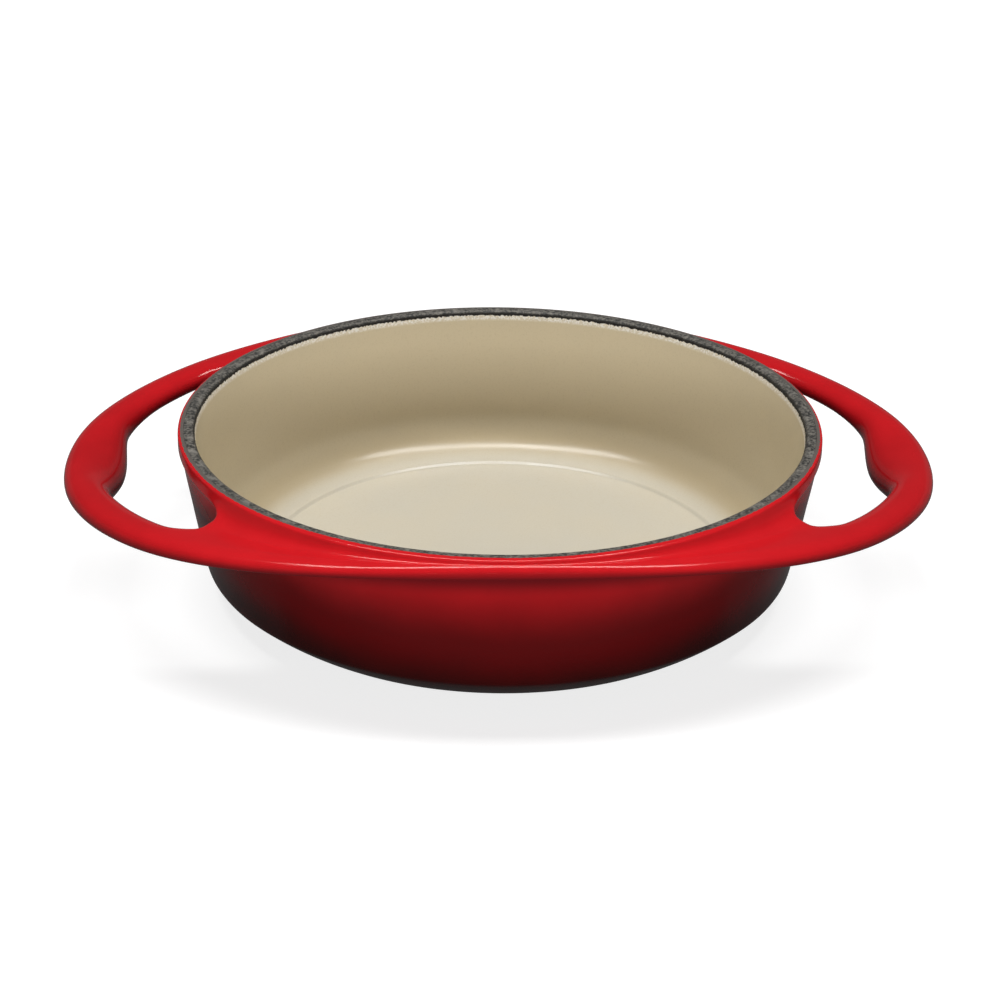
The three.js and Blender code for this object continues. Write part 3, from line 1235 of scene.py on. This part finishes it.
@dataclass
class BowlLining(TurnedCoat):
    """The pale coat on the bowl's inner wall, cove and floor."""

    name: str = "bowl_lining"
    up_lean: float = 0.05
    wall_spots: tuple[Spot, ...] = (
        (123.15, 66.7), (123.0, 65.6), (122.2, 59.0), (120.9, 48.0), (119.45, 36.0))
    cove_radius: float = 19.0
    cove_centre: Spot = (99.0, 24.1)
    cove_steps: int = 7
    floor_spots: tuple[Spot, ...] = (
        (98.2, 5.09), (97.7, 5.03), (97.0, 4.62), (96.3, 4.12), (95.7, 4.0), (95.0, 4.0),
        (88.0, 4.1), (80.0, 4.3), (65.0, 4.5), (45.0, 4.6), (20.0, 4.6), (4.0, 4.6))

    def line(self) -> list[Spot]:
        """Lists the wall, the cove's arc, the shallow ring step and the floor.

        Returns:
            Radius and height of each spot.
        """
        cove = []
        for step in range(self.cove_steps + 1):
            angle = math.radians(90 * step / self.cove_steps)
            cove.append((
                self.cove_centre[0] + self.cove_radius * math.cos(angle),
                self.cove_centre[1] - self.cove_radius * math.sin(angle)))
        return list(self.wall_spots) + cove + list(self.floor_spots)

    def outward(self, place: Vector) -> Vector:
        """Faces up and in, towards the food."""
        return Vector((-place.x, -place.y, self.up_lean)).normalized()

    def dress(self, piece: bpy.types.Object) -> None:
        """Gives the lining its sand enamel."""
        hand_over(piece, SandEnamel(), Node.LINING)


@dataclass
class RimBand(TurnedCoat):
    """The bare band of ground coat over the rim's top."""

    name: str = "rim_band"
    corners: int = 96
    spots: tuple[Spot, ...] = (
        (127.45, 68.57), (127.1, 68.6), (126.2, 68.6), (125.2, 68.6), (124.2, 68.35),
        (123.6, 67.85), (123.3, 67.3), (123.2, 66.75))

    def outward(self, place: Vector) -> Vector:
        """Faces up."""
        return Vector((0, 0, 1))

    def dress(self, piece: bpy.types.Object) -> None:
        """Gives the band its matt ground coat."""
        hand_over(piece, GroundCoat(), Node.RIM)


@dataclass
class BaseCoat(TurnedCoat):
    """The dark coat on the flat underside."""

    name: str = "base_coat"
    spots: tuple[Spot, ...] = (
        (106.9, 1.45), (105.8, 0.8), (104.8, 0.32), (103.6, 0.05), (101.5, 0.0), (95.0, 0.0),
        (70.0, 0.0), (35.0, 0.0), (4.0, 0.0))

    def outward(self, place: Vector) -> Vector:
        """Faces down."""
        return Vector((0, 0, -1))

    def dress(self, piece: bpy.types.Object) -> None:
        """Gives the underside its near-black enamel."""
        hand_over(piece, BaseEnamel(), Node.BASE)


@dataclass
class Softbox:
    """One area lamp that looks at the dish."""

    name: str
    place: Triple
    width: float
    height: float
    power: float
    mirrored: bool = True
    aim: Triple = (0.0, 0.0, 0.04)

    def build(self) -> None:
        """Adds the lamp and points it at the dish."""
        bpy.ops.object.light_add(type="AREA", location=self.place)
        lamp = bpy.context.object
        lamp.name = self.name
        lamp.visible_camera = False
        lamp.visible_glossy = self.mirrored
        lamp.data.shape = "RECTANGLE"
        lamp.data.size = self.width
        lamp.data.size_y = self.height
        lamp.data.energy = self.power
        sight = Vector(self.aim) - Vector(self.place)
        lamp.rotation_euler = sight.to_track_quat("-Z", "Y").to_euler()


@dataclass(frozen=True)
class ByRay:
    """A value for plain rays, one for reflections and clear things, and one for the camera."""

    plain: float
    mirrored: float
    seen: float

    def output(self, sheet: NodeSheet) -> Any:
        """Adds the nodes that pick the value by the kind of ray, and gives their output.

        Args:
            sheet: The material's or the world's nodes.

        Returns:
            The value's output.
        """
        path = sheet.add("ShaderNodeLightPath").outputs
        gloss = sheet.math("MAXIMUM", path["Is Glossy Ray"], path["Is Transmission Ray"])
        unseen = sheet.ramp(gloss, 0.0, 1.0, self.plain, self.mirrored)
        return sheet.ramp(path["Is Camera Ray"], 0.0, 1.0, unseen, self.seen)


@dataclass
class Studio:
    """The pale floor, the lamps, the surroundings and the photograph's camera, in metres and degrees."""

    floor_size: float = 60.0
    floor_colour: ByRay = ByRay(0.36, 0.1, 0.36)
    floor_glow: ByRay = ByRay(0.0, 0.04, 0.79)
    low_glow: ByRay = ByRay(0.35, 0.12, 1.0)
    high_glow: float = 0.05
    horizon: Pair = (0.2, 0.28)
    sensor: float = 36.0
    lens: float = 78.498
    shift: Pair = (0.001445, -0.007074)
    elevation: float = 25.061
    roll: float = 0.73
    dish_turn: float = 2.2
    distance: float = 0.9
    view_reach: float = 200.0
    aim: Triple = (-0.0003, 0.0, 0.0344)
    lamps: tuple[Softbox, ...] = (
        Softbox("top_softbox", (0.0, 0.45, 4.0), 4.0, 0.8, 170.0),
        Softbox("front_softbox", (0.0, -3.2, 0.47), 1.8, 0.45, 41.0, mirrored=False),
    )

    def build_floor(self) -> None:
        """Adds the floor, which shows near white and throws little light back."""
        bpy.ops.object.select_all(action="DESELECT")
        bpy.ops.mesh.primitive_plane_add(size=self.floor_size)
        floor = bpy.context.object
        floor.name = "floor"
        material = bpy.data.materials.new("floor_pale")
        material.use_nodes = True
        shader = material.node_tree.nodes["Principled BSDF"]
        sheet = NodeSheet(material.node_tree)
        sheet.feed(shader.inputs["Base Color"], self.floor_colour.output(sheet))
        shader.inputs["Emission Color"].default_value = WHITE
        sheet.feed(shader.inputs["Emission Strength"], self.floor_glow.output(sheet))
        shader.inputs["Roughness"].default_value = 1.0
        shader.inputs["Specular IOR Level"].default_value = 0.0
        floor.data.materials.append(material)

    def build_world(self) -> None:
        """Lights the surroundings by height: bright low down and dark above."""
        world = bpy.data.worlds.new("studio")
        bpy.context.scene.world = world
        world.use_nodes = True
        world.node_tree.nodes.clear()
        sheet = NodeSheet(world.node_tree)
        place = sheet.add("ShaderNodeTexCoord").outputs["Generated"]
        height = sheet.add("ShaderNodeSeparateXYZ", {"Vector": place}).outputs["Z"]
        glow = sheet.ramp(height, *self.horizon, self.low_glow.output(sheet), self.high_glow)
        light = sheet.add("ShaderNodeBackground", {"Color": WHITE, "Strength": glow})
        out = sheet.add("ShaderNodeOutputWorld")
        sheet.feed(out.inputs["Surface"], light.outputs["Background"])

    def build_camera(self) -> None:
        """Sets the camera where the photograph was taken from."""
        turn, tilt, roll = (math.radians(angle) for angle in (self.dish_turn, self.elevation, self.roll))
        right = Vector((math.cos(turn), -math.sin(turn), 0))
        back = Vector((-math.sin(turn) * math.cos(tilt), -math.cos(turn) * math.cos(tilt), math.sin(tilt)))
        up = back.cross(right)
        across = right * math.cos(roll) + up * math.sin(roll)
        upward = up * math.cos(roll) - right * math.sin(roll)
        bpy.ops.object.camera_add()
        camera = bpy.context.object
        camera.name = "photo_camera"
        pose = Matrix((across, upward, back)).transposed().to_4x4()
        pose.translation = Vector(self.aim) + back * self.distance
        camera.matrix_world = pose
        camera.data.sensor_width = self.sensor
        camera.data.lens = self.lens
        camera.data.shift_x, camera.data.shift_y = self.shift
        camera.data.clip_end = self.view_reach
        bpy.context.scene.camera = camera

    def build(self) -> None:
        """Builds the whole studio."""
        self.build_floor()
        for lamp in self.lamps:
            lamp.build()
        self.build_world()
        self.build_camera()
        bpy.context.scene.view_settings.view_transform = "Standard"
        log.info("studio: %d lamps", len(self.lamps))


def dress_casting() -> None:
    """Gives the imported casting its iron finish."""
    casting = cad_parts[Node.CASTING.value]
    casting.data.materials.clear()
    casting.data.materials.append(CastIron().material())
    log.info("%s: %d faces", casting.name, len(casting.data.polygons))


def main() -> None:
    """Builds the studio, then each coat in order, and reports them."""
    logging.basicConfig(level=logging.INFO, format="%(name)s %(message)s")
    Studio().build()
    dress_casting()
    for coat in (ColourCoat(), BowlLining(), RimBand(), BaseCoat()):
        coat.dress(coat.build())


if __name__ == "__main__":
    main()
